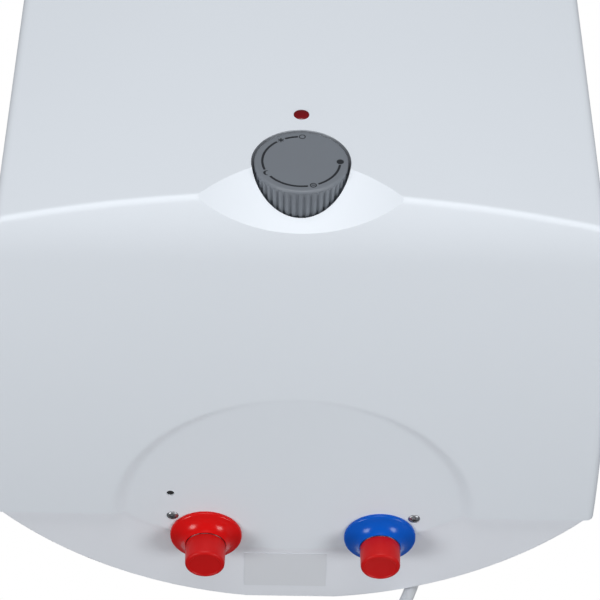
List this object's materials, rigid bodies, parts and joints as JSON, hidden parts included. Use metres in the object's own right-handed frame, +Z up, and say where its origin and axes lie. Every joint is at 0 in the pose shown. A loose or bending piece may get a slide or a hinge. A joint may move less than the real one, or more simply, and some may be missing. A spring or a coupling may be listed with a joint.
{
  "type": "storage water heater",
  "caption": "Small electric water heater that hangs on a wall, pipes below: tank and heating element in a two-piece casing, thermostat knob, lamp, pipe rosettes and a mains lead.",
  "frame": {"origin": "on the wall plane, midway between the two slots of the hanger plate", "axes": "+X to the right as seen by the user, -Y out from the wall towards the user, +Z up"},
  "size_m": [0.342, 0.3099, 0.7314],
  "materials": {
    "casing_white": "satin",
    "rear_white": "satin",
    "knob_grey": "satin",
    "lamp_red": "gloss",
    "rosette_red": "gloss",
    "rosette_blue": "gloss",
    "cap_red": "gloss",
    "screw_steel": "satin",
    "zinc_steel": "satin",
    "enamel_tank": "gloss",
    "foam": "matte",
    "gasket_rubber": "matte",
    "copper_tube": "satin",
    "pipe_steel": "satin",
    "magnesium": "satin",
    "black_plastic": "matte",
    "clear_grey": "matte",
    "plate_foil": "satin",
    "cord_white": "satin",
    "plug_white": "satin",
    "pin_nickel": "polished",
    "wire_brown": "satin",
    "wire_black": "satin",
    "wire_blue": "satin",
    "wire_earth": "satin"
  },
  "bodies": {
    "heater": {"front_cover": "casing_white", "rear_cover": "rear_white", "cover_screws": "screw_steel", "rating_plate": "plate_foil", "inner_tank": "enamel_tank", "flange_gasket": "gasket_rubber", "flange_plate": "zinc_steel", "flange_nuts": "zinc_steel", "heating_element": "copper_tube", "thermowell": "copper_tube", "anode_rod": "magnesium", "cold_inlet_pipe": "pipe_steel", "hot_outlet_pipe": "pipe_steel", "cold_diffuser": "clear_grey", "insulation_front": "foam", "insulation_rear": "foam", "hanger_plate": "zinc_steel", "hanger_nuts": "zinc_steel", "hot_rosette": "rosette_red", "cold_rosette": "rosette_blue", "thermostat_body": "black_plastic", "thermostat_screws": "zinc_steel", "thermostat_capillary": "copper_tube", "indicator_lens": "lamp_red", "lamp_holder": "clear_grey", "lamp_leads": "wire_black", "cutout_bracket": "zinc_steel", "cutout_body": "black_plastic", "inner_screws": "zinc_steel", "terminal_block": "clear_grey", "lead_live": "wire_brown", "lead_switched": "wire_black", "lead_load": "wire_black", "lead_neutral": "wire_blue", "lead_earth": "wire_earth", "cord_tail": "cord_white", "cord_gland": "cord_white", "power_cord": "cord_white", "cord_coil": "cord_white", "coil_tie": "black_plastic", "plug_body": "plug_white", "plug_pins": "pin_nickel", "plug_earth_clips": "pin_nickel"},
    "knob": {"dial_knob": "knob_grey", "thermostat_spindle": "zinc_steel"},
    "hot_cap": {"hot_cap": "cap_red"},
    "cold_cap": {"cold_cap": "cap_red"},
    "reset": {"reset_button": "black_plastic"}
  },
  "joints": [
    {"name": "knob_turn", "type": "hinge", "parent": "heater", "child": "knob", "pos_m": [0, -0.30863, -0.3438], "axis": [0, 0.9986, -0.0523], "range_deg": [0, 280]},
    {"name": "hot_cap_pull", "type": "slide", "parent": "heater", "child": "hot_cap", "axis": [0, 0, -1], "range_m": [0, 0.03]},
    {"name": "cold_cap_pull", "type": "slide", "parent": "heater", "child": "cold_cap", "axis": [0, 0, -1], "range_m": [0, 0.03]},
    {"name": "reset_press", "type": "slide", "parent": "heater", "child": "reset", "axis": [0, 0, 1], "range_m": [0, 0.002], "stiffness_N_per_m": 200, "springref_m": -0.001}
  ]
}
